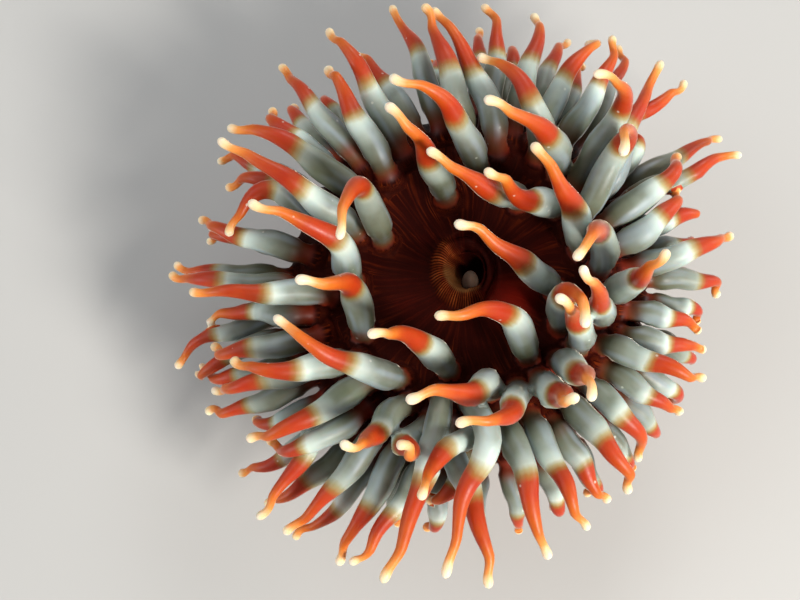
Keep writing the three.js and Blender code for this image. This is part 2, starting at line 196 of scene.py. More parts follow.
def smoothRow(table, count):
    # a smooth line through the rows of a table, with count points between rows
    rows = np.array(table, float)
    padded = np.vstack([2 * rows[0] - rows[1], rows, 2 * rows[-1] - rows[-2]])
    made = []
    for k in range(1, len(padded) - 2):
        a, b, c, d = padded[k - 1:k + 3]
        for t in np.linspace(0, 1, count, endpoint=False):
            made.append(0.5 * (2 * b + (c - a) * t + (2 * a - 5 * b + 4 * c - d) * t * t
                               + (3 * b - a - 3 * c + d) * t ** 3))
    made.append(rows[-1])
    return np.array(made)


# centrelines of the tentacles

# each row here is a distance from the axis with the disc's height there
discSurface = [(9, 36.8), (14, 36.8), (20, 37.4), (26, 38.0), (30, 37.4), (33, 35.8), (35, 34.0),
               (36.5, 32.0)]
# a distance from the axis, with the degrees that a root there leans out
rootLean = [(17, 5), (24, 20), (28, 40), (32, 62), (36, 82)]
# a fraction of the length, with the room that a tentacle's radius takes there
thickness = [(0, 2.5), (0.1, 2.4), (0.25, 2.7), (0.45, 2.35), (0.62, 1.72), (0.78, 1.15), (0.9, 0.82),
             (0.96, 0.98), (1, 0.6)]
stations = 10

# A pose is: bearing and distance of the root from the axis, the tip's X, Y and height, the bearing
# in which the tip points, and for a sharp bend the X, Y and height of that bend.
cycles = [
    {"name": "inner", "length": 36, "girth": 1.06, "poses": [
        (15, 24, 12, 21, 65, 130, 20, 11, 54),
        (38.8, 24, 3, 16, 67, 155, 9.5, 12.5, 56),
        (57, 20, -9, 19, 64, 150, 4, 15, 54),
        (153, 19, -26, 1, 69, 260, -22, 13, 60),
        (181, 23, -42, 11, 62, 140, -27, 5, 54),
        (208, 23.5, -33, -8, 68, 175, -23, -5, 54),
        (259, 19, -20, -18, 66, 190, -12, -15, 56),
        (282, 23, -13, -28, 65, 205),
        (305, 25, 19, -30, 69, 10),
        (308, 20, -7, -14, 64, 165, 4, -10, 58),
        (333, 21, 21, -16, 70, 260, 18, -7, 58),
        (354, 18, -3, 7, 62, 185, 6, 2, 56),
    ]},
    {"name": "second", "length": 36, "girth": 1.03, "poses": [
        (4, 26, 19, -3, 70, 225, 25, 6, 56),
        (27, 24.5, 27, 17, 70, 260, 31, 25, 54),
        (50, 29.3, 2, 28, 66, 175, 14, 26, 57),
        (84, 23.5, -15, 36, 63, 140),
        (103, 18, -17, 27, 66, 140),
        (156, 24.5, -49, 27, 50, 135),
        (236, 24.5, -38, -12, 59, 145),
        (257, 24.3, -16, -62, 46, 240),
        (270, 24.5, -4, -61, 46, 255),
        (294, 24.5, -3, -35, 65, 205),
        (317, 24.5, 20, -30, 68, 270),
        (328, 25.5, 15, -12, 70, 155, 20, -11, 58),
    ]},
    {"name": "third", "length": 34, "girth": 1.0, "poses": [
        (12, 29, 44, 20, 36, 35),
        (22, 29, 45, 25, 34, 35),
        (33, 28, 41, 48, 34, 60),
        (41, 28.5, 23, 32, 68, 185, 31, 32, 51),
        (60, 29.5, 2, 46, 46, 160, 13, 35, 49),
        (77, 27.5, -7, 58, 42, 130),
        (89, 28, -10, 57, 42, 140, -4, 43, 46),
        (116, 29, -28, 53, 44, 105),
        (126, 27.5, -28, 44, 46, 110),
        (141, 27.5, -48, 32, 42, 150),
        (159, 29.5, -47, 8, 42, 265, -42, 17, 43.5),
        (187, 27.5, -55, -3, 42, 165),
        (217, 27.5, -46, -16, 44, 135),
        (227, 27.5, -44, -34, 40, 205),
        (245, 27.5, -24, -36, 66, 145, -18, -33, 50),
        (255, 29.4, -14.5, -38, 58, 220),
        (265, 28.5, 5, -62, 42, 270),
        (275, 29, -10, -48, 61, 250, -7, -39, 52),
        (285, 27.5, 15, -57, 42, 295),
        (294, 29.5, 22, -51, 40, 300),
        (308, 29.5, 33, -43, 38, 290),
        (319, 29.5, 35, -35, 30, 285),
        (334, 29.5, 47, -22, 40, 340),
        (343, 27.5, 21, -4, 70, 105),
        (354, 27.5, 35, -1, 70, 65),
    ]},
    {"name": "fourth", "length": 33, "girth": 0.95, "poses": [
        (4, 31, 54, 12, 32, 25),
        (18, 33, 47, 14, 32, 220),
        (27, 33, 57, 28, 32, 5),
        (38, 32.5, 30, 33, 32, 195, 34, 29, 40),
        (46, 33, 46, 46, 32, 80),
        (55, 33.3, 32, 54, 32, 80),
        (65.5, 32.5, 25, 52, 32, 175),
        (73, 32, 15, 61, 32, 115),
        (82, 31.5, 5, 62, 32, 135),
        (99, 31.5, -15, 61, 32, 105),
        (108, 32, -24, 52, 32, 170, -17, 43, 36),
        (131, 31.5, -39, 47, 32, 135),
        (140, 32.5, -42, 38, 32, 125),
        (150, 31.5, -49, 22, 32, 160),
        (170, 31.5, -55, 13, 32, 175),
        (183, 32, -60, 4, 32, 145),
        (192, 31.5, -54, -7, 32, 260, -46, -6, 33),
        (201, 31, -53, -13, 32, 165),
        (211, 31, -52, -20, 32, 175),
        (222, 31.5, -43, -47, 32, 185, -38, -42, 34),
        (231, 32, -40, -32, 32, 160),
        (240, 31.5, -36, -51, 32, 225),
        (249, 32.5, -27, -56, 32, 250),
        (258, 34, -23, -58, 36, 185, -17, -49, 38),
        (270, 33, -9, -44, 32, 220),
        (301, 33, 27, -45, 32, 300),
        (327, 32.5, 42, -27, 32, 310),
        (341, 33, 48, -12, 32, 355),
        (350, 32.5, 47, -9, 32, 330),
    ]},
    {"name": "fifth", "length": 30, "girth": 0.9, "poses": [
        (3, 36, 54, 1, 24, 335),
        (11, 36, 48, 11, 24, 335),
        (33, 36, 56, 34, 24, 5),
        (53, 36, 35, 56, 24, 85),
        (61, 36, 25, 51, 24, 35),
        (69, 36, 22, 58, 24, 60),
        (77, 36, 8, 55, 24, 135),
        (85, 36, 2, 59, 24, 100),
        (97, 36, -6, 52, 24, 110),
        (113, 36, -20, 46, 24, 130),
        (127, 36, -30, 44, 24, 130),
        (135, 36, -38, 42, 24, 145),
        (148, 36, -52, 30, 24, 180),
        (167, 36, -55, 13, 24, 175),
        (177, 36, -60, 7, 24, 140),
        (188, 36, -60, -15, 24, 220),
        (196, 36, -57, -17, 24, 145),
        (204, 36, -54, -14, 24, 140),
        (211, 36, -53, -26, 24, 225),
        (219, 36, -45, -26, 24, 220),
        (227, 36, -47, -36, 24, 210),
        (235, 36, -42, -44, 24, 235),
        (243, 36, -34, -51, 24, 260),
        (355, 36, 49, -5, 24, 320),
    ]},
]

# short tentacles that droop under the crown, evenly spaced
under = {"first": 252, "step": 10.2, "count": 10, "root": 36, "reach": 49, "height": 20}
for k in range(under["count"]):
    underBearing = under["first"] + k * under["step"]
    underTip = polar(underBearing, under["reach"])
    cycles[4]["poses"].append((underBearing, under["root"], *underTip, under["height"], underBearing))

arch = {
    "slack": (1.04, 1.3),       # least and most length of an arched tentacle, over the way from root to tip
    "aim": 0.4,                 # how much the root already aims at the tip
    "rootPull": 0.36,           # how far the root's direction is kept, over the length
    "tipPull": 0.16,            # how far the tip's direction is kept
    "pullRange": (0.1, 2.5),    # the root's pull is tried between these until the length is right
    "tries": 24,
    "bendPull": 0.35,           # how far a direction is kept on either side of a sharp bend
    "bentTipPull": 0.3,
    "fine": (61, 201),          # points on a curve, and on one that is only measured
}


def bezierPoints(a, b, c, d, count):
    t = np.linspace(0, 1, count)[:, None]
    return (1 - t) ** 3 * a + 3 * (1 - t) ** 2 * t * b + 3 * (1 - t) * t * t * c + t ** 3 * d


def lengthOf(points):
    return np.linalg.norm(np.diff(points, axis=0), axis=1).sum()


def evenly(points, count):
    along = distanceAlong(points)
    want = np.linspace(0, along[-1], count + 1)
    return np.stack([np.interp(want, along, points[:, axis]) for axis in range(3)], 1)


def archedPoints(root, start, tip, end, length):
    # a tentacle arches more the nearer its tip is to its root
    chord = np.linalg.norm(tip - root)
    least, most = arch["slack"]
    full = min(max(length, chord * least), chord * most)
    away = unit(start * (1 - arch["aim"]) + (tip - root) / chord * arch["aim"])
    low, high = arch["pullRange"]
    for _ in range(arch["tries"]):
        pull = (low + high) / 2
        tipHandle = tip - end * arch["tipPull"] * full
        corners = (root, root + away * arch["rootPull"] * full * pull, tipHandle, tip)
        if lengthOf(bezierPoints(*corners, arch["fine"][1])) < full:
            low = pull
        else:
            high = pull
    return evenly(bezierPoints(*corners, arch["fine"][0]), stations)


def bentPoints(root, start, bend, tip, end):
    a, b = np.linalg.norm(bend - root), np.linalg.norm(tip - bend)
    through = unit((bend - root) / a + (tip - bend) / b)
    away = unit(start + (bend - root) / a)
    pull, tipPull, count = arch["bendPull"], arch["bentTipPull"], arch["fine"][0]
    first = bezierPoints(root, root + away * pull * a, bend - through * pull * a, bend, count)
    last = bezierPoints(bend, bend + through * pull * b, tip - end * tipPull * b, tip, count)
    return evenly(np.vstack([first, last[1:]]), stations)


def centreline(cycle, pose):
    bearing, distance, tipX, tipY, tipZ, heading = pose[:6]
    root = np.array([*polar(bearing, distance), readOff(discSurface, distance)])
    lean = math.radians(readOff(rootLean, distance))
    start = np.array([*polar(bearing, math.sin(lean)), math.cos(lean)])
    tip = np.array([tipX, tipY, tipZ], float)
    end = np.array([*polar(heading, 1), 0])
    if len(pose) > 6:
        return bentPoints(root, start, np.array(pose[6:], float), tip, end)
    return archedPoints(root, start, tip, end, cycle["length"])


easing = {
    "rounds": 60,
    "clearance": 0.8,   # room between two tentacles in millimetres
    "sideways": 0.45,   # share of a push that goes sideways; all of it goes up or down
    "reachOut": 3.5,    # a tentacle's box is this much larger than its centreline
    "held": 3,          # the root stays, and the line is free from a third of the way up
    "blurs": 2,         # how often the pushes are evened out along a tentacle
}


def easeApart(lines, radii):
    # tentacles that come too near each other are moved apart a little in each round
    low, high = lines.min(1) - easing["reachOut"], lines.max(1) + easing["reachOut"]
    pairs = [(i, j) for i in range(len(lines)) for j in range(i + 1, len(lines))
             if (low[i] < high[j]).all() and (low[j] < high[i]).all()]
    one, two = np.array(pairs).T
    near = radii[one][:, :, None] + radii[two][:, None, :] + easing["clearance"]
    freedom = np.minimum(easing["held"] * np.arange(stations + 1) / stations, 1)[None, :, None]
    for _ in range(easing["rounds"]):
        apart = lines[one][:, :, None, :] - lines[two][:, None, :, :]
        distance = np.sqrt((apart ** 2).sum(3)) + 1e-9      # never nought
        over = np.maximum(near - distance, 0)
        apart *= (over / 2 / distance)[..., None]
        apart[..., :2] *= easing["sideways"]
        push, hits = np.zeros_like(lines), np.zeros(lines.shape[:2])
        np.add.at(push, one, apart.sum(2))
        np.add.at(push, two, -apart.sum(1))
        np.add.at(hits, one, (over > 0).sum(2))
        np.add.at(hits, two, (over > 0).sum(1))
        push *= freedom / np.sqrt(np.maximum(hits, 1))[..., None]
        for _ in range(easing["blurs"]):
            blurred = push.copy()
            blurred[:, 1:-1] = (push[:, :-2] + 2 * push[:, 1:-1] + push[:, 2:]) / 4
            blurred[:, -1] = (push[:, -2] + 2 * push[:, -1]) / 3
            push = blurred
        lines = lines + push
    return lines


fractions = np.arange(stations + 1) / stations
tentacles = [(cycle, pose) for cycle in cycles for pose in cycle["poses"]]
tentacleLines = easeApart(
    np.array([centreline(cycle, pose) for cycle, pose in tentacles]),
    np.array([[cycle["girth"] * readOff(thickness, at) for at in fractions] for cycle, pose in tentacles]))
print("centrelines:", len(tentacleLines), "tentacles")


# one straight tentacle, modelled once, and its bent copies

limb = {
    "sides": 14,
    "sink": 2.2,          # how far the root runs down into the body
    "usualLength": 35,
    # a fraction of the length, with the radius there for a girth of 1
    "shape": [
        (0, 2.15), (0.06, 2.32), (0.14, 2.6), (0.25, 2.76), (0.36, 2.62), (0.45, 2.34), (0.55, 1.98),
        (0.62, 1.71), (0.7, 1.39), (0.78, 1.13), (0.85, 0.95), (0.9, 0.85), (0.932, 0.87), (0.96, 0.96),
        (0.978, 0.9), (0.992, 0.6), (1.0, 0.1),
    ],
    "flare": 0.9,         # extra radius where the root meets the disc
    "flareTo": 0.07,      # fraction of the length where the flare has gone
    "flareMost": 1.3,     # the flare grows no further than this below the disc
    "rings": [
        0.0, 0.02, 0.045, 0.075, 0.11, 0.15, 0.19, 0.23, 0.27, 0.31, 0.35, 0.385, 0.42, 0.455, 0.49, 0.525,
        0.56, 0.595, 0.63, 0.665, 0.7, 0.735, 0.77, 0.8, 0.83, 0.86, 0.885, 0.91, 0.932, 0.952, 0.968,
        0.981, 0.991, 0.997,
    ],
    "zones": (0.105, 0.48),     # reach at the end of the root's brown zone and at the pale band
    # how much the girth varies, in how many waves along the length, and how the seed shifts the waves
    "uneven": [(0.035, 13, 7), (0.025, 27, 3)],
    "sway": 0.4,                # how far in millimetres the middle of a tentacle waves to either side
    "swayWaves": [(11, 5), (9, 11)],
    "hook": (0.82, 0.95, 1.4),  # where the tip starts and ends to turn aside, and by how many millimetres
    "hookTurn": 17,             # how the hook's bearing follows the seed
    "grain": (2.2, 0.12),       # size of the fibres' pattern around and along a tentacle
    "grainShift": (50, 130),    # how the pattern is shifted from one tentacle to the next
}
smoothShape = smoothRow(limb["shape"], 6)


def limbRadius(at):
    radius = float(np.interp(at, smoothShape[:, 0], smoothShape[:, 1]))
    flare = max(0.0, 1 - at / limb["flareTo"]) ** 2
    return radius + limb["flare"] * min(flare, limb["flareMost"])


def straightTentacle():
    # the straight limb lies along X, one unit long, with its girth in millimetres
    deselectAll()
    sunk = -limb["sink"] / limb["usualLength"]
    bpy.ops.mesh.primitive_circle_add(
        vertices=limb["sides"], radius=limbRadius(sunk) * mm, fill_type="NGON",
        location=(sunk, 0, 0), rotation=(0, -math.pi / 2, 0))
    piece = bpy.context.object
    piece.name = "straightTentacle"
    bpy.ops.object.transform_apply(location=True, rotation=True, scale=True)
    bpy.ops.object.mode_set(mode="EDIT")
    bpy.ops.mesh.select_mode(type="EDGE")
    bpy.ops.mesh.select_all(action="SELECT")
    before, reached = limbRadius(sunk), sunk
    for at in limb["rings"]:
        bpy.ops.mesh.extrude_edges_move(TRANSFORM_OT_translate={"value": (at - reached, 0, 0)})
        grow = limbRadius(at) / before
        bpy.ops.transform.resize(value=(1, grow, grow), center_override=(at, 0, 0))
        before, reached = limbRadius(at), at
    bpy.ops.mesh.extrude_edges_move(TRANSFORM_OT_translate={"value": (1 - reached, 0, 0)})
    bpy.ops.mesh.merge(type="CENTER")
    bpy.ops.mesh.select_all(action="SELECT")
    bpy.ops.mesh.normals_make_consistent(inside=False)
    bpy.ops.object.mode_set(mode="OBJECT")
    setMark(piece, "reach", np.clip(pointsOf(piece)[:, 0] * mm, 0, 1))
    return piece


def bentTentacle(straight, line, girth, seed, zones):
    # a copy is stretched to the tentacle's length and bent along its centreline
    sink, length = limb["sink"], lengthOf(line)
    below = line[0] - unit(line[1] - line[0]) * sink
    guide = addLine("spine", smoothRow(np.vstack([below, line]), 6))
    piece = copyOf(straight)
    x, y, z = pointsOf(piece).T * mm
    x = x * length
    x = np.where(x < 0, x * sink / (-x.min()), x) + sink

    # each tentacle is a little uneven in girth and a little wavy, and its tip turns aside
    share = np.clip((x - sink) / length, 0, 1)
    phase = 2 * math.pi * seed
    uneven = sum((most * np.sin(waves * share + shift * phase) for most, waves, shift in limb["uneven"]), 1)
    y, z = y * (girth / mm * uneven), z * (girth / mm * uneven)
    around = np.arctan2(z, y)
    window = limb["sway"] * np.sin(math.pi * share) ** 2
    start, end, most = limb["hook"]
    hook, turn = most * step(share, start, end), limb["hookTurn"] * phase
    (wavesY, shiftY), (wavesZ, shiftZ) = limb["swayWaves"]
    y = y + window * np.sin(wavesY * share + shiftY * phase) + hook * math.cos(turn)
    z = z + window * np.sin(wavesZ * share + shiftZ * phase) + hook * math.sin(turn)
    movePoints(piece, np.stack([x, y, z], 1))

    # the root's brown zone ends and the pale band lies at one value of reach on every tentacle
    reach = np.interp(getMark(piece, "reach"), [0, *zones, 1], [0, *limb["zones"], 1])
    plainMarks(piece, reach=reach, seed=seed, near=1.0)
    (size, stretch), (shiftX, shiftY) = limb["grain"], limb["grainShift"]
    setGrain(piece, np.stack([
        size * np.cos(around) + shiftX * seed, size * np.sin(around) + shiftY * seed, x * stretch], 1))
    applyModifier(piece, "CURVE", object=guide, deform_axis="POS_X")
    bpy.data.objects.remove(guide)
    return piece


# the body: foot, column, collar, margin, disc and lips, turned in one piece

body = {
    "sides": 216,
    # distance from the axis, height, and the spacing of rings from here on
    "outline": [
        (0, 0, 40), (31.6, 0, 0.8), (33.0, 0.5, 0.8), (33.6, 1.8, 0.8), (32.9, 3.2, 0.9), (31.0, 6.4, 1.1),
        (29.6, 11.5, 1.1), (29.4, 17, 1.1), (30.0, 22, 1.1), (31.0, 26.0, 0.6), (31.9, 27.4, 0.5),
        (34.2, 28.0, 0.5), (35.3, 29.3, 0.5), (34.9, 30.7, 0.45), (34.4, 31.3, 0.45), (35.2, 31.6, 0.45),
        (36.4, 32.1, 0.7), (35.0, 34.1, 0.9), (33, 35.9, 1.0), (30, 37.4, 1.1), (26, 38.0, 1.1),
        (20, 37.4, 1.0), (14, 36.9, 0.7), (10.0, 36.9, 0.5), (8.3, 37.5, 0.4), (7.4, 39.0, 0.36),
        (6.2, 40.1, 0.36), (4.9, 39.5, 0.36), (4.1, 38.0, 0.42), (3.7, 35.5, 0.5), (3.2, 32.0, 0.8),
        (2.1, 29.4, 0.8), (0, 28.6, 1),
    ],
    "doubles": 0.00001,               # points nearer than this many metres are merged
    "upperSide": (28.3, 28),          # the disc, lips and throat: above this height, within this distance
    "outerSide": 25,                  # the wall and the foot: beyond this distance
    "wall": (28, 27),                 # the wall alone: beyond this distance, below this height
    "footLobes": (0.45, 7),           # depth in mm and number of the foot's soft lobes
    "lobeHeights": (9, 2),            # they are gone above the first height and full below the second
    "collarWaves": (0.35, 18),        # depth in mm and number of the collar's folds
    "waveHeights": (26, 28.5, 31, 32),    # heights where they start, are full, fade and end
    # depth, number round the column, twist in a millimetre of height and phase
    "folds": [(0.45, 9, 0.18, 0), (0.3, 17, -0.3, 1)],
    "foldHeights": (1, 6, 24, 28),
    "rings": (0.22, 2.4, 3),          # depth of the rings over the foot, waves in a mm and waves round
    "ringHeights": (15, 5),
    "aside": (0.6, 0.8),              # how far the lower column stands aside, and its bearing in radians
    "asideHeights": (28, 16),
}
mouth = {
    "centre": (-0.5, 2.4),
    "stretch": (0.84, 0.99),          # the slit is longer than it is wide
    "flutes": 78,
    "fluteDepth": 0.36,
    "fluteDrift": [(1.3, 3, 0.5), (0.9, 8, 0)],   # how the flutes crowd and part: amount, waves round, phase
    "fluteShare": (0.2, 13, 2),       # share by which some are lower, waves round, phase
    "fineRings": (3.4, 9.4),          # distances between which the rings have twice as many points
    "fineAbove": 34,                  # and the height above which they have them
    "lips": (3.0, 4.2, 7.4, 9.2),     # distances where the lips start, are full, fade and end
    "lipWaves": (0.35, 5),            # height in mm and number of the lips' slow waves
    "openTo": 30,                     # bearing towards which the ring of the lips is open
    "openEdge": (-0.3, 0.4),          # cosines of the angle from it where the opening starts and is full
    "openDrop": 3.2,                  # how far the lips sink there
    "openHeights": (36.6, 39),        # heights where they start to sink and sink fully
    "throat": (5.6, 4.6),             # distances outside and inside of the throat's rim
    "throatTop": 38.6,
    "throatLean": 0.42,               # how far the throat runs aside as it goes down
    "throatFlutes": 0.07,
    "corner": 240,                    # bearing towards which the throat's wall is paler; elsewhere it is left near-black as painted shade in the hole
    "cornerEdge": (0.0, 0.85),
    "hold": (15, 8.5),                # distances between which the place and stretch take hold
}
swelling = {"centre": (9.4, -4.2), "radius": 6.2, "height": 3.0, "edge": (1.25, 0.1), "from": (3.4, 5.6)}
# the pale lobe in the mouth's corner: its centre and half sizes
lobe = {"centre": (0.75, 0.35, 33.7), "size": (1.8, 2.6, 5.1)}


def bodyOutline():
    rows, between = body["outline"], 12
    fine = smoothRow([row[:2] for row in rows[1:]], between)
    along = distanceAlong(fine)
    at, picked = 0.0, []
    while at < along[-1]:
        picked.append(at)
        at += float(np.interp(at, along[::between], [row[2] for row in rows[1:]]))
    picked.append(along[-1])
    line = np.stack([np.interp(picked, along, fine[:, axis]) for axis in (0, 1)], 1)
    return np.vstack([rows[0][:2], np.maximum(line, 0)])


def turnedBody():
    line = bodyOutline()
    profile = addLine("profile", np.stack([line[:, 0], 0 * line[:, 0], line[:, 1]], 1))
    makeActive(profile)
    bpy.ops.object.convert(target="MESH")
    piece = bpy.context.object
    piece.name = "anemoneSkin"
    bpy.ops.object.mode_set(mode="EDIT")
    bpy.ops.mesh.select_all(action="SELECT")
    bpy.ops.mesh.spin(steps=body["sides"], angle=2 * math.pi, center=(0, 0, 0), axis=(0, 0, 1))
    bpy.ops.mesh.select_all(action="SELECT")
    bpy.ops.mesh.remove_doubles(threshold=body["doubles"])
    bpy.ops.mesh.normals_make_consistent(inside=False)
    bpy.ops.object.mode_set(mode="OBJECT")
    return piece


def refineLips(piece):
    # twice as many points round the rings of the lips, for their fine flutes
    points, ends = pointsOf(piece), edgesOf(piece)
    distance = np.hypot(points[:, 0], points[:, 1])[ends]
    height = points[ends, 2]
    same = 1e-3
    level = (np.ptp(height, axis=1) < same) & (np.ptp(distance, axis=1) < same)
    low, high = mouth["fineRings"]
    inside = (distance.mean(1) > low) & (distance.mean(1) < high) & (height.mean(1) > mouth["fineAbove"])
    selectOnly(piece, "EDGE", level & inside)
    bpy.ops.mesh.subdivide(number_cuts=1)
    bpy.ops.mesh.select_mode(type="VERT")
    bpy.ops.object.mode_set(mode="OBJECT")


def columnFolds(bearing, z):
    # how far the column's wall stands out or in from a round one
    folds = 0
    for depth, number, twist, phase in body["folds"]:
        folds = folds + depth * np.sin(number * bearing + twist * z + phase)
    depth, waves, own = body["rings"]
    rings = depth * np.sin(waves * z + 2 * np.sin(own * bearing)) * step(z, *body["ringHeights"])
    most, towards = body["aside"]
    aside = most * np.cos(bearing - towards) * step(z, *body["asideHeights"])
    return (folds + rings) * between(z, *body["foldHeights"]) + aside


def shapeBody(piece):
    x, y, z = pointsOf(piece).T
    distance, bearing = np.hypot(x, y), np.arctan2(y, x)
    height, within = body["upperSide"]
    top = (z > height) & (distance < within)

    # the foot's lobes, the column's folds and the collar's waves
    depth, count = body["footLobes"]
    lobes = 0.5 + 0.5 * np.sin(count * bearing + 1.3 * np.sin(2 * bearing))
    folds = -depth * lobes * step(z, *body["lobeHeights"])
    depth, count = body["collarWaves"]
    folds += -depth * (0.5 + 0.5 * np.sin(count * bearing)) * between(z, *body["waveHeights"])
    folds += columnFolds(bearing, z)
    grow = 1 + folds * ((distance > body["outerSide"]) & ~top) / np.maximum(distance, 1)

    # lips, fluted, sunk towards their open side
    onLip = top * between(distance, *mouth["lips"])
    opening = step(np.cos(bearing - math.radians(mouth["openTo"])), *mouth["openEdge"])
    spread = mouth["flutes"] * bearing
    for most, number, phase in mouth["fluteDrift"]:
        spread = spread + most * np.sin(number * bearing + phase)
    share, number, phase = mouth["fluteShare"]
    flute = (0.5 + 0.5 * np.cos(spread)) * (1 - share + share * np.sin(number * bearing + phase))
    z = z - onLip * (1 - flute) * mouth["fluteDepth"] * (1 - opening)
    most, count = mouth["lipWaves"]
    z = z + most * onLip * np.sin(count * bearing + 1)
    z = z - mouth["openDrop"] * opening * onLip * step(z, *mouth["openHeights"])
    throat = top * step(distance, *mouth["throat"])
    grow = grow * (1 + mouth["throatFlutes"] * throat * (flute - 0.5) * (1 - opening))

    # the throat leans, and the mouth lies a little off the axis
    near = top * step(distance, *mouth["hold"])
    (stretchX, stretchY), (centreX, centreY) = mouth["stretch"], mouth["centre"]
    x = x * grow * (1 + near * (stretchX - 1)) + near * centreX
    y = y * grow * (1 + near * (stretchY - 1)) + near * centreY
    x = x + throat * np.maximum(mouth["throatTop"] - z, 0) * mouth["throatLean"]

    # the swelling beside the mouth
    away = np.hypot(x - swelling["centre"][0], y - swelling["centre"][1]) / swelling["radius"]
    swell = step(away, *swelling["edge"]) * top * step(distance, *swelling["from"])
    z = z + swelling["height"] * swell
    movePoints(piece, np.stack([x, y, z], 1))

    # on the open side the lip and ochre marks are nought, and the ochre fades away from the corner, so the
    # near-black disc colour stays there as painted shade in the hole
    corner = step(np.cos(bearing - math.radians(mouth["corner"])), *mouth["cornerEdge"])
    # both marks fall towards the flutes' valleys, so the grooves are painted in shade
    plainMarks(piece, seed=0.5, throat=throat, swell=swell,
               lip=onLip * (1 - opening) * (0.2 + 0.8 * np.maximum(flute, 0) ** 1.4),
               ochre=throat * (1 - opening) * corner * (0.45 + 0.55 * flute))


fibres = {
    "size": (14, 0.04),     # size of the fibres' pattern around and along the body
    "from": 31,             # height above which the fibres run out over the disc
    "edge": 80,             # the pattern's place counts inwards from this distance
    "rootRoom": 0.3,        # how much wider than a root the gap between the fibres is
    "fade": 2.2,            # distance from a root over which its mark fades
}


def rootField(piece):
    # fibres of the disc run out from the mouth and part round the roots of the tentacles
    points = pointsOf(piece)
    distance, bearing = np.hypot(points[:, 0], points[:, 1]), np.arctan2(points[:, 1], points[:, 0])
    turned, nearest = bearing.copy(), np.full(len(points), 99.0)
    upper = points[:, 2] > fibres["from"]
    for (cycle, pose), line in zip(tentacles, tentacleLines):
        root, radius = line[0], cycle["girth"] * (thickness[0][1] + fibres["rootRoom"])
        away = np.hypot(points[:, 0] - root[0], points[:, 1] - root[1])
        aside = (bearing - math.radians(pose[0]) + math.pi) % (2 * math.pi) - math.pi
        turned -= upper * aside * radius ** 2 / (away ** 2 + radius ** 2)
        nearest = np.where(upper, np.minimum(nearest, away - radius), nearest)
    outward = np.where(upper, fibres["edge"] - distance, points[:, 2])
    size, stretch = fibres["size"]
    setGrain(piece, np.stack([size * np.cos(turned), size * np.sin(turned), outward * stretch], 1))
    setMark(piece, "near", np.exp(-np.maximum(nearest, 0) / fibres["fade"]) * upper)


skin = turnedBody()
refineLips(skin)
shapeBody(skin)
rootField(skin)
print("body:", len(skin.data.polygons), "faces")


# warts in rows down the column, and the lobe in the mouth

warts = {
    "seed": 5,
    "rows": 40,                 # rows round the column
    "heights": [5.2, 9.0, 12.9, 16.9, 20.8, 24.6],
    "radius": (0.62, 0.95),
    "growth": (0.8, 1.15),      # how much larger they are from the foot to the collar
    "upScatter": 0.9,           # how far in millimetres a wart may lie above or below its place
    "sideScatter": 0.2,         # how far it may lie aside, as a share of the space between rows
    "stagger": 1.8,             # every second row lies this much higher
    "sunk": 0.4,                # share of its radius that a wart is sunk in the wall
}


def ballOf(radius, place, segments, rings):
    deselectAll()
    bpy.ops.mesh.primitive_uv_sphere_add(segments=segments, ring_count=rings, radius=radius, location=place)
    return bpy.context.object


def wartField():
    random = np.random.default_rng(warts["seed"])
    model = ballOf(1, (0, 0, 0), 8, 6)
    outline = bodyOutline()
    beyond, below = body["wall"]
    outline = outline[(outline[:, 0] > beyond) & (outline[:, 1] < below)]
    small, large = warts["growth"]
    made = []
    for row in range(warts["rows"]):
        for height in warts["heights"]:
            z = height + random.uniform(-warts["upScatter"], warts["upScatter"])
            z += (row % 2) * warts["stagger"]
            radius = random.uniform(*warts["radius"]) * (small + (large - small) * z / below)
            aside = random.uniform(-warts["sideScatter"], warts["sideScatter"])
            bearing = 2 * math.pi * (row + aside) / warts["rows"]
            wall = float(np.interp(z, outline[:, 1], outline[:, 0])) + columnFolds(bearing, z)
            out = wall - radius * warts["sunk"]
            wart = copyOf(model)
            wart.scale = [radius * mm] * 3
            wart.location = (out * math.cos(bearing) * mm, out * math.sin(bearing) * mm, z * mm)
            made.append(wart)
    bpy.data.objects.remove(model)
    deselectAll()
    for wart in made:
        wart.select_set(True)
    bpy.context.view_layer.objects.active = made[0]
    bpy.ops.object.transform_apply(location=True, rotation=True, scale=True)
    bpy.ops.object.join()
    field = bpy.context.object
    plainMarks(field, wart=1.0)
    return field


def mouthLobe():
    piece = ballOf(mm, [part * mm for part in lobe["centre"]], 20, 14)
    piece.scale = lobe["size"]
    bpy.ops.object.transform_apply(location=True, rotation=True, scale=True)
    plainMarks(piece, pad=1.0)
    return piece


joinInto(skin, wartField())
joinInto(skin, mouthLobe())
print("warts and lobe joined:", len(skin.data.polygons), "faces")


# the crown

crown = {
    "girthSpread": (0.98, 1.08),
    "zoneSpread": (0.95, 1.05),
    "seed": 12,
    "cluster": 12,      # tentacles that are joined to each other before they are joined to the body
    # fractions of the length at the end of the brown root and at the pale band, cycle by cycle
    "zones": {
        "inner": (0.055, 0.46), "second": (0.06, 0.47), "third": (0.1, 0.49), "fourth": (0.13, 0.53),
        "fifth": (0.13, 0.55),
    },
}


def joinCrown(piece):
    straight = straightTentacle()
    random = np.random.default_rng(crown["seed"])
    cluster = None
    for k, ((cycle, _), line) in enumerate(zip(tentacles, tentacleLines)):
        zones = np.array(crown["zones"][cycle["name"]]) * random.uniform(*crown["zoneSpread"])
        girth = cycle["girth"] * random.uniform(*crown["girthSpread"])
        tentacle = bentTentacle(straight, line, girth, random.uniform(0, 1), zones)
        if cluster is None:
            cluster = tentacle
        else:
            joinInto(cluster, tentacle)
        if (k + 1) % crown["cluster"] == 0 or k == len(tentacles) - 1:
            joinInto(piece, cluster)
            cluster = None
    bpy.data.objects.remove(straight)


joinCrown(skin)
print("crown joined:", len(skin.data.polygons), "faces")

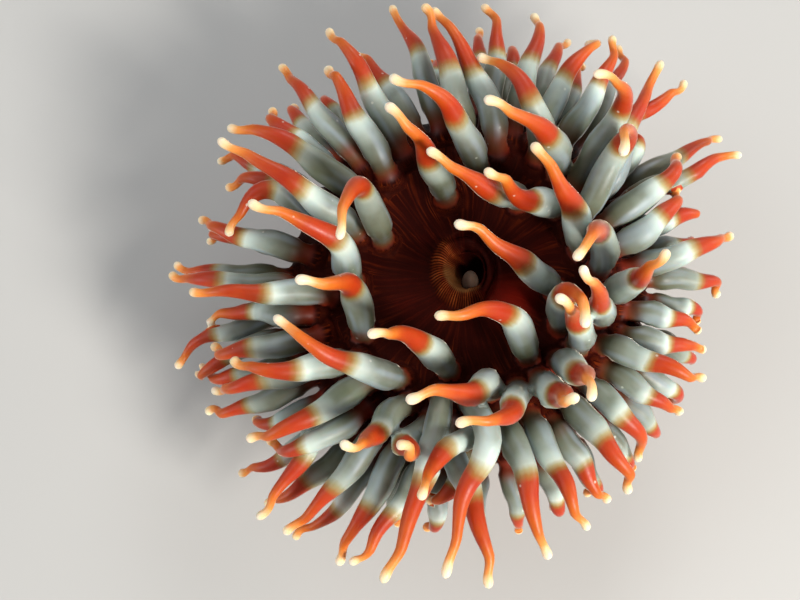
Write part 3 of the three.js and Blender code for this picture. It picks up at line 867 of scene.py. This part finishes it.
soft = {
    "bare": 0.0005,         # a point whose reach is less than this isn't on a tentacle
    "rings": 3,             # how many rings of points beside each root are softened
    "repeat": 7,
    "doubles": 0.00012,     # points nearer than this many metres are merged there
    "clear": (41, 37.5),    # above this height, or beyond this distance, there are only tentacles
}


def softenRoots(piece):
    # the crease where each tentacle meets the disc becomes a soft fillet
    reach, edges = getMark(piece, "reach"), edgesOf(piece)
    across = (reach[edges] > soft["bare"]).sum(1) == 1
    chosen = np.zeros(len(reach), bool)
    chosen[edges[across].ravel()] = True
    for _ in range(soft["rings"]):
        touched = chosen[edges].any(1)
        chosen[edges[touched].ravel()] = True
    selectOnly(piece, "VERT", chosen)
    bpy.ops.mesh.remove_doubles(threshold=soft["doubles"])
    bpy.ops.mesh.vertices_smooth(factor=0.5, repeat=soft["repeat"])
    bpy.ops.object.mode_set(mode="OBJECT")


def mendMarks(piece):
    # points made where two tentacles touch take the marks of the nearest point of a tentacle
    points, reach = pointsOf(piece), getMark(piece, "reach")
    height, distance = soft["clear"]
    clear = (points[:, 2] > height) | (np.hypot(points[:, 0], points[:, 1]) > distance)
    known, lost = np.flatnonzero(reach > soft["bare"]), np.flatnonzero(clear & (reach <= soft["bare"]))
    nearest = [known[((points[known] - points[k]) ** 2).sum(1).argmin()] for k in lost]
    for name in ("reach", "seed", "near", "wart", "pad"):
        values = getMark(piece, name)
        values[lost] = values[nearest]
        setMark(piece, name, values)
    grain = getGrain(piece)
    grain[lost] = grain[nearest]
    setGrain(piece, grain)
    print("marks mended:", len(lost), "points")


softenRoots(skin)
mendMarks(skin)
print("roots softened:", len(skin.data.vertices), "points")

applyModifier(skin, "TRIANGULATE", quad_method="BEAUTY")
bpy.ops.object.shade_smooth()
print("triangles:", len(skin.data.polygons))


# skin material

class Wire:
    # an output socket, so that sums on sockets are written as they read
    def __init__(self, tree, socket=None):
        self.tree = tree
        self.socket = socket

    def node(self, kind, settings=None, values=None, output=0):
        made = self.tree.nodes.new("ShaderNode" + kind)
        for name, value in (settings or {}).items():
            setattr(made, name, value)
        for name, value in (values or {}).items():
            if isinstance(value, Wire):
                self.tree.links.new(value.socket, made.inputs[name])
            else:
                made.inputs[name].default_value = value
        return Wire(self.tree, made.outputs[output]) if output is not None else None

    def sum(self, operation, *values):
        return self.node("Math", {"operation": operation}, dict(enumerate(values)))

    def __add__(self, other):
        return self.sum("ADD", self, other)

    def __sub__(self, other):
        return self.sum("SUBTRACT", self, other)

    def __rsub__(self, other):
        return self.sum("SUBTRACT", other, self)

    def __mul__(self, other):
        return self.sum("MULTIPLY", self, other)

    __radd__ = __add__
    __rmul__ = __mul__

    def ease(self, low, high, start=0.0, end=1.0):
        # from start at low to end at high, smooth and held beyond them
        return self.node("MapRange", {"interpolation_type": "SMOOTHSTEP"},
                         {0: self, 1: low, 2: high, 3: start, 4: end})

    def between(self, start, full, fade, end):
        # 1 from full to fade, and 0 before start and after end
        return self.ease(start, full) * self.ease(end, fade)

    def under(self, shade, amount):
        # this colour with another laid over it by an amount
        return self.node("Mix", {"data_type": "RGBA"}, {0: amount, 6: self, 7: shade}, 2)

    def ramp(self, stops):
        made = self.node("ValToRGB", None, {"Fac": self})
        band = made.socket.node.color_ramp
        while len(band.elements) < len(stops):
            band.elements.new(1.0)
        for element, (at, shade) in zip(band.elements, stops):
            element.position = at
            element.color = screenColour(*shade)
        return made

    def noise(self, scale, detail, roughness):
        return self.node("TexNoise", {"noise_dimensions": "3D"}, {
            "Vector": self, "Scale": scale, "Detail": detail, "Roughness": roughness})


def screenColour(red, green, blue):
    # the linear colour of a screen colour out of 255
    return (*(((part / 255 + 0.055) / 1.055) ** 2.4 for part in (red, green, blue)), 1.0)


skinLook = {
    # fraction of a tentacle's length, with its colour there
    "tentacle": [
        (0.0, (70, 12, 4)), (0.03, (98, 28, 10)), (0.065, (108, 54, 26)), (0.105, (98, 78, 54)),
        (0.16, (98, 98, 80)), (0.26, (130, 138, 124)), (0.36, (162, 174, 164)), (0.42, (190, 206, 198)),
        (0.455, (206, 218, 206)), (0.487, (180, 168, 122)), (0.518, (162, 108, 50)), (0.552, (174, 58, 16)),
        (0.62, (184, 56, 6)), (0.74, (194, 80, 12)), (0.84, (212, 110, 28)), (0.91, (234, 154, 76)),
        (0.95, (246, 210, 158)), (1.0, (250, 232, 206)),
    ],
    # what lies over those: its colour, the fractions of the length where it starts, is full, fades and ends,
    # and how strong it is
    "patches": {
        "ember": ((172, 38, 8), (0.53, 0.6, 0.72, 0.88), 0.55),      # deeper red patches on the orange
        "darkCoreAndShade": ((70, 64, 48), (0.08, 0.2, 0.34, 0.47), 0.5),        # dark core that shows through the stem, and painted shade on the lower stems
        "moss": ((84, 100, 58), (0.08, 0.2, 0.34, 0.47), 0.4),       # greenish tinge in places
        "oliveAndShade": ((92, 92, 66), (0.06, 0.16, 0.44, 0.53), 0.6),      # all over the stems of some tentacles, a duller tone that is partly painted shade
        "pearlHighlight": ((178, 196, 216), (0.08, 0.2, 0.34, 0.47), 0.3),    # painted pearly highlight, bluish-white, in places
        "rust": ((132, 34, 10), (0.0, 0.04, 0.08, 0.22), 0.75),      # reddish patches on the roots
        "speck": ((232, 236, 222), (0.05, 0.12, 0.7, 0.9), 0.5),     # small pale dots
    },
    "disc": [(0.0, (16, 1, 0)), (0.5, (36, 2, 1)), (1.0, (66, 8, 3))],
    # the lips from the flutes' valleys to their crests; the dark end is painted shade in the grooves
    "lip": [(0.0, (34, 4, 1)), (0.4, (88, 30, 10)), (1.0, (178, 88, 40))],
    "column": [(0.0, (98, 28, 16)), (0.45, (138, 56, 34)), (0.62, (142, 106, 76)), (1.0, (156, 142, 112))],
    "streak": (142, 56, 18),
    "swelling": (112, 16, 6),
    "throat": (150, 104, 58),
    "pad": (94, 76, 64),
    "wart": (190, 182, 156),
    # scale, detail and roughness of each noise: the first five lie in space, the others follow the flesh
    "blotch": (150, 3.0, 0.5),      # patches about 7 mm wide
    "fine": (900, 3.0, 0.6),        # about 1 mm
    "embers": (120, 2.0, 0.5),
    "mosses": (75, 2.0, 0.5),
    "rusts": (60, 2.0, 0.5),
    "fibre": (1.6, 3.0, 0.5),       # long fibres
    "thread": (3.0, 3.0, 0.5),      # thinner ones
    # the noise that places the painted pearly highlights
    "pearlHighlights": (0.7, 0.0, 0.5),
    "cells": 420.0,                 # scale of the cells that may each hold a pale dot
}


def skinMaterial():
    material = bpy.data.materials.new("wetAnemoneSkin")
    material.use_nodes = True
    tree = material.node_tree
    tree.nodes.clear()
    start = Wire(tree)

    def mark(name, output="Fac"):
        return start.node("Attribute", {"attribute_name": name}, None, output)

    def shade(name):
        return screenColour(*skinLook[name])

    place = start.node("TexCoord", None, None, "Object")
    grain = mark("grain", "Vector")
    reach, seed, near = mark("reach"), mark("seed"), mark("near")
    lip, throat, ochre, swell = mark("lip"), mark("throat"), mark("ochre"), mark("swell")
    height = place.node("SeparateXYZ", None, {0: place}, 2) * 1000
    blotch, fine = place.noise(*skinLook["blotch"]), place.noise(*skinLook["fine"])
    fibre, thread = grain.noise(*skinLook["fibre"]), grain.noise(*skinLook["thread"])
    cells = {"Vector": place, "Scale": skinLook["cells"]}
    dot = start.node("TexVoronoi", None, cells, "Distance").ease(0.16, 0.08)
    chosen = start.node("TexVoronoi", None, cells, "Color").ease(0.72, 0.75)

    # tentacles, whose bands shift a little from one to the next
    at = reach + (seed - 0.5) * 0.03 + (blotch - 0.5) * 0.07 + (fibre - 0.5) * 0.014
    tentacle = at.ramp(skinLook["tentacle"])
    spread = {
        "ember": place.noise(*skinLook["embers"]).ease(0.45, 0.65),
        # dark core and painted shade in blotches on the lower stems
        "darkCoreAndShade": (blotch + fibre * 0.1).ease(0.42, 0.74),
        "moss": place.noise(*skinLook["mosses"]).ease(0.5, 0.72),
        # tentacles chosen by seed take the duller olive, partly painted shade
        "oliveAndShade": seed.sum("FRACT", seed * 5.3).ease(0.4, 0.95),
        # painted pearly highlights in streaks along the grain
        "pearlHighlight": grain.noise(*skinLook["pearlHighlights"]).ease(0.42, 0.78),
        "rust": place.noise(*skinLook["rusts"]).ease(0.42, 0.62),
        "speck": dot * chosen,
    }
    for name, (colour, zone, amount) in skinLook["patches"].items():
        tentacle = tentacle.under(screenColour(*colour), reach.between(*zone) * spread[name] * amount)

    # disc with its parting streaks, the swelling, the lips, the throat and the lobe
    disc = (fibre * 0.7 + blotch * 0.5 - 0.1).ramp(skinLook["disc"])
    disc = disc.under(shade("swelling"), swell * 0.7)
    streak = (thread * 0.35 + fibre * 0.65).ease(0.46, 0.68) * (near * 0.85 + 0.025)
    disc = disc.under(shade("streak"), streak * blotch.ease(0.38, 0.62, 0.25, 1.0))
    # the lips' orange-brown, darker in the flutes' valleys as painted shade
    disc = disc.under((lip * 0.9 + (fine - 0.5) * 0.4).ramp(skinLook["lip"]), lip.ease(0.02, 0.35))
    # the ochre wall fades lower down, leaving painted shade deeper in the throat
    disc = disc.under(shade("throat"), ochre * height.ease(31.0, 38.5))
    disc = disc.under(shade("pad"), mark("pad"))

    # column with its warts
    column = (blotch * 0.8 + fine * 0.25 + fibre * 0.2 - 0.1).ramp(skinLook["column"])
    column = column.under(shade("wart"), mark("wart"))
    # the throat's wall takes the near-black disc colours all the way down, as painted shade in the hole
    bodyColour = column.under(disc, (height + throat * 20).ease(30.5, 33.5))

    bump = start.node("Bump", None, {
        "Strength": 0.35, "Distance": 0.0004, "Height": fibre * 0.5 + thread * 0.3 + fine * 0.3})
    softBump = start.node("Bump", None, {
        "Strength": 0.22, "Distance": 0.0003, "Height": fibre * 0.25 + fine * 0.4})
    bodyShader = start.node("BsdfPrincipled", None, {
        "Base Color": bodyColour, "Roughness": fine.ease(0.3, 0.7, 0.5, 0.7), "Normal": bump,
        "Subsurface Weight": 0.12, "Subsurface Radius": (1.0, 0.3, 0.2), "Subsurface Scale": 0.0012,
        "Specular IOR Level": 0.14, "Specular Tint": (1.0, 0.32, 0.2, 1.0)})
    rim = start.node("LayerWeight", None, {"Blend": 0.5}, "Facing")
    tentacleShader = start.node("BsdfPrincipled", None, {
        "Base Color": tentacle, "Roughness": fine.ease(0.3, 0.7, 0.4, 0.56), "Normal": softBump,
        "Subsurface Weight": 0.3, "Subsurface Radius": (1.0, 0.45, 0.3), "Subsurface Scale": 0.0016,
        "Specular IOR Level": 0.35,
        "Coat Weight": rim.ease(0.5, 0.95, 0.06, 1.0), "Coat Roughness": 0.35, "Coat IOR": 1.8,
        "Sheen Weight": 0.75, "Sheen Roughness": 0.15, "Sheen Tint": (1.0, 0.9, 0.72, 1.0)})
    mixed = start.node("MixShader", None, {0: reach.ease(0.0, 0.04), 1: bodyShader, 2: tentacleShader})
    start.node("OutputMaterial", None, {"Surface": mixed}, None)
    return material


skin.data.materials.clear()
skin.data.materials.append(skinMaterial())
print("material laid on the skin")

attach(skin, "root")
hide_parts(*frame["nodes"])


# plain floor, light and camera

room = {
    "floorSize": 6.0,
    "floorColour": (0.5, 0.49, 0.47, 1),
    "floorRoughness": 0.7,
    "aim": (0, 0, 0.03),                # where the lamps point
    "airColour": (0.75, 0.8, 0.85, 1),
    "airStrength": 0.22,
    # name, place in metres, size, power, colour
    "lamps": [
        ("key", (0.5, -0.5, 0.62), 0.26, 11.5, (1.0, 0.97, 0.92)),
        ("fill", (-0.7, 0.3, 0.8), 0.7, 3, (0.9, 0.95, 1.0)),
        ("rim", (0.2, 0.8, 0.6), 0.4, 3.5, (1.0, 1.0, 1.0)),
        ("left", (-0.8, -0.25, 0.22), 0.35, 2.2, (0.92, 0.96, 1.0)),
        ("right", (0.8, 0.25, 0.2), 0.35, 2.0, (0.92, 0.96, 1.0)),
    ],
}
deselectAll()
bpy.ops.mesh.primitive_plane_add(size=room["floorSize"], location=(0, 0, 0))
floor = bpy.context.object
floor.name = "floor"
floorMaterial = bpy.data.materials.new("paleFloor")
floorMaterial.use_nodes = True
floorShader = floorMaterial.node_tree.nodes["Principled BSDF"]
floorShader.inputs["Base Color"].default_value = room["floorColour"]
floorShader.inputs["Roughness"].default_value = room["floorRoughness"]
floor.data.materials.append(floorMaterial)

for name, place, size, power, colour in room["lamps"]:
    lamp = bpy.data.lights.new(name, "AREA")
    lamp.size, lamp.energy, lamp.color = size, power, colour
    holder = addObject(name, lamp)
    holder.location = place
    holder.rotation_euler = (Vector(room["aim"]) - Vector(place)).to_track_quat("-Z", "Y").to_euler()

world = bpy.data.worlds.new("studio")
bpy.context.scene.world = world
world.use_nodes = True
air = world.node_tree.nodes["Background"]
air.inputs["Color"].default_value = room["airColour"]
air.inputs["Strength"].default_value = room["airStrength"]

view = {
    "tilt": 13,                         # degrees that the camera leans from straight down
    "distance": 380,                    # millimetres to the picture's middle
    "middle": (-13.6, -4.9, 42.0),      # the point in the picture's middle
    "width": 160,                       # millimetres across the picture there
    "sensor": 36,
    "nearest": 0.01,
}
tilt = math.radians(view["tilt"])
back = Vector((0, -math.sin(tilt), math.cos(tilt)))
camera = bpy.data.cameras.new("camera")
camera.sensor_width = view["sensor"]
camera.lens = camera.sensor_width * view["distance"] / view["width"]
camera.clip_start = view["nearest"]
viewer = addObject("camera", camera)
viewer.location = (Vector(view["middle"]) + back * view["distance"]) * mm
viewer.rotation_euler = (tilt, 0, 0)
bpy.context.scene.camera = viewer
bpy.context.scene.view_settings.view_transform = "Standard"   # keeps the bright colours full
print("floor, lamps and camera placed")
